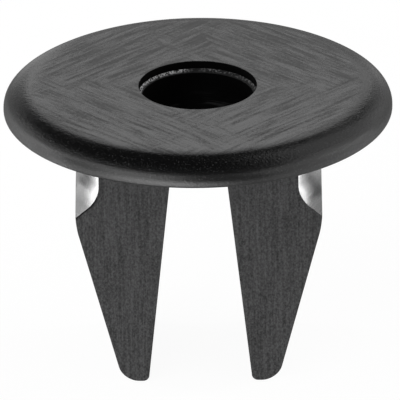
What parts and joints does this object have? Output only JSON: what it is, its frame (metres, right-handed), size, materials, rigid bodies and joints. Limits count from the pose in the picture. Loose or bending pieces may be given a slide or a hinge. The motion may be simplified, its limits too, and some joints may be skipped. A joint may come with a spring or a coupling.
{
  "type": "push-in panel nut",
  "caption": "Round-headed nylon push-in nut: a split, tapered shank snaps into a panel hole behind barbed corners and a screw driven through the head spreads its legs.",
  "frame": {"origin": "on the screw axis, in the plane of the head's underside, which seats on the panel", "axes": "+Z along the screw axis out through the head, X across the legs, Y through the slot between them"},
  "size_m": [0.0222, 0.0222, 0.0168],
  "materials": {
    "black_nylon": "satin moulded nylon with fine tool marks"
  },
  "bodies": {
    "root": {"nut_body": "black_nylon"}
  },
  "joints": []
}
